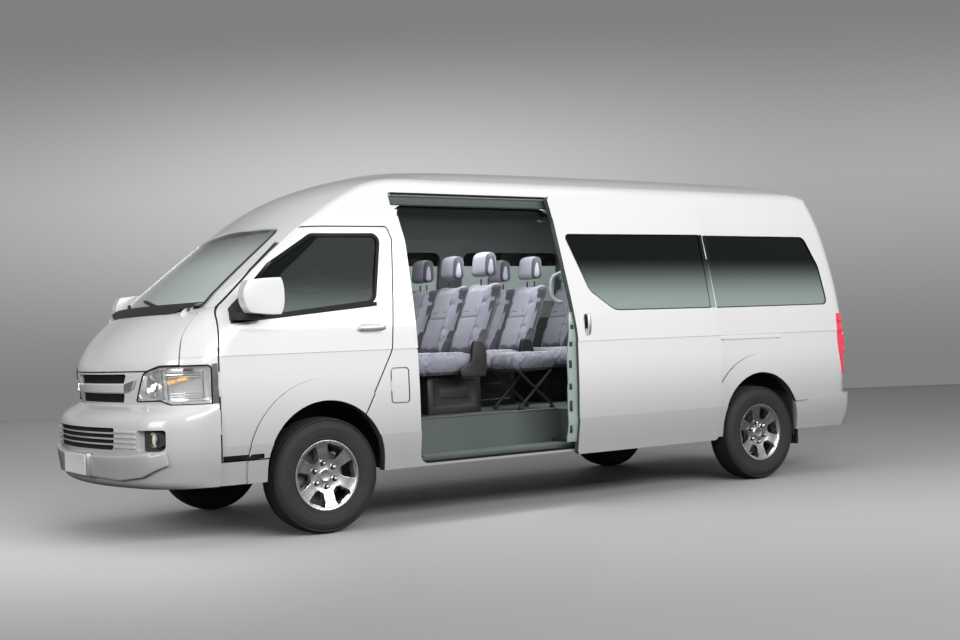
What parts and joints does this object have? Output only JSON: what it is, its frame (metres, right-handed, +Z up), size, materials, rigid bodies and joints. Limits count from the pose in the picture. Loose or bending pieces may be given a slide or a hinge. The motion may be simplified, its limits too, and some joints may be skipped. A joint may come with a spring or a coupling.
{
  "type": "minibus",
  "caption": "High-roof passenger minibus with side sliding door standing open, rows of seats, hinged front doors, bonnet and tailgate, alloy wheels",
  "frame": {"origin": "on the ground, under the middle of the vehicle's length and width", "axes": "+X forward, +Y to the vehicle's left, +Z up"},
  "size_m": [5.7509, 2.22, 2.243],
  "materials": {
    "body_paint": "pearl white gloss",
    "interior_trim": "matt grey-green trim",
    "dark_plastic": "dark charcoal, matt",
    "glass": "green-grey tinted",
    "clear_lamp": "clear lens over bright reflector",
    "red_lamp": "red lens",
    "silver_trim": "satin silver",
    "tyre_rubber": "black rubber",
    "alloy": "silver cast alloy",
    "frame_steel": "black chassis paint",
    "engine_iron": "bare casting",
    "seat_fabric": "woven lilac grey"
  },
  "bodies": {
    "body": {"cab_floor": "interior_trim", "chassis_frame": "frame_steel", "dashboard": "dark_plastic", "engine_block": "engine_iron", "floor_pan": "interior_trim", "fog_lamps": "dark_plastic", "front_bumper": "body_paint", "front_fenders": "body_paint", "front_grille": "body_paint", "front_posts": "body_paint", "front_seats": "seat_fabric", "front_suspension": "frame_steel", "fuel_tank": "frame_steel", "grille_bar": "silver_trim", "headlamps": "clear_lamp", "headliner": "interior_trim", "jump_seats": "seat_fabric", "rear_axle": "frame_steel", "rear_bumper": "body_paint", "roof_panel": "body_paint", "seat_bases": "dark_plastic", "seat_row_1": "seat_fabric", "seat_row_2": "seat_fabric", "seat_row_3": "seat_fabric", "seat_row_4": "seat_fabric", "side_glass": "glass", "side_panel_left": "body_paint", "side_panel_right": "body_paint", "slide_rails": "dark_plastic", "sliding_door": "body_paint", "sliding_door_glass": "glass", "steering_column": "dark_plastic", "tail_lamps": "red_lamp", "wheelhouses": "dark_plastic", "windscreen": "glass"},
    "steering_column_wheel": {"steering_wheel": "dark_plastic"},
    "knuckle_left": {"knuckle_left": "frame_steel"},
    "knuckle_right": {"knuckle_right": "frame_steel"},
    "wheel_front_left": {"tyre_front_left": "tyre_rubber", "rim_front_left": "alloy"},
    "wheel_front_right": {"tyre_front_right": "tyre_rubber", "rim_front_right": "alloy"},
    "wheel_rear_left": {"tyre_rear_left": "tyre_rubber", "rim_rear_left": "alloy"},
    "wheel_rear_right": {"tyre_rear_right": "tyre_rubber", "rim_rear_right": "alloy"},
    "front_door_left": {"front_door_left": "body_paint", "door_glass_left": "glass", "mirror_left": "body_paint"},
    "front_door_right": {"front_door_right": "body_paint", "door_glass_right": "glass", "mirror_right": "body_paint"},
    "tailgate": {"tailgate": "body_paint", "tailgate_glass": "glass"},
    "bonnet": {"bonnet": "body_paint"},
    "fuel_flap": {"fuel_flap": "body_paint"}
  },
  "joints": [
    {"name": "steer_left", "type": "hinge", "parent": "body", "child": "knuckle_left", "pos_m": [1.72, 0.665, 0.337], "axis": [0, 0, 1], "range_deg": [-33, 33]},
    {"name": "steer_right", "type": "hinge", "parent": "body", "child": "knuckle_right", "pos_m": [1.72, -0.665, 0.337], "axis": [0, 0, 1], "range_deg": [-33, 33]},
    {"name": "steering_wheel", "type": "hinge", "parent": "body", "child": "steering_column_wheel", "pos_m": [1.89, -0.38, 1.34], "axis": [-0.766, 0, 0.6428], "range_deg": [-530, 530]},
    {"name": "roll_front_left", "type": "hinge", "parent": "knuckle_left", "child": "wheel_front_left", "pos_m": [1.72, 0.8235, 0.337], "axis": [0, 1, 0], "continuous": true},
    {"name": "roll_front_right", "type": "hinge", "parent": "knuckle_right", "child": "wheel_front_right", "pos_m": [1.72, -0.8235, 0.337], "axis": [0, 1, 0], "continuous": true},
    {"name": "roll_rear_left", "type": "hinge", "parent": "body", "child": "wheel_rear_left", "pos_m": [-1.79, 0.8235, 0.337], "axis": [0, 1, 0], "continuous": true},
    {"name": "roll_rear_right", "type": "hinge", "parent": "body", "child": "wheel_rear_right", "pos_m": [-1.79, -0.8235, 0.337], "axis": [0, 1, 0], "continuous": true},
    {"name": "open_front_door_left", "type": "hinge", "parent": "body", "child": "front_door_left", "pos_m": [2.372, 0.934, 0.8], "axis": [0, 0, 1], "range_deg": [-70, 0]},
    {"name": "open_front_door_right", "type": "hinge", "parent": "body", "child": "front_door_right", "pos_m": [2.372, -0.934, 0.8], "axis": [0, 0, 1], "range_deg": [0, 70]},
    {"name": "open_tailgate", "type": "hinge", "parent": "body", "child": "tailgate", "pos_m": [-2.63, 0, 2.046], "axis": [0, 1, 0], "range_deg": [0, 85]},
    {"name": "open_bonnet", "type": "hinge", "parent": "body", "child": "bonnet", "pos_m": [2.398, 0, 1.332], "axis": [0, 1, 0], "range_deg": [-50, 0]},
    {"name": "open_fuel_flap", "type": "hinge", "parent": "body", "child": "fuel_flap", "pos_m": [1.286, 0.94, 0.83], "axis": [0, 0, 1], "range_deg": [-85, 0]}
  ],
  "couplings": [
    {"joint": "steer_right", "follows": "steer_left", "ratio": 1},
    {"joint": "steering_wheel", "follows": "steer_left", "ratio": 16}
  ]
}
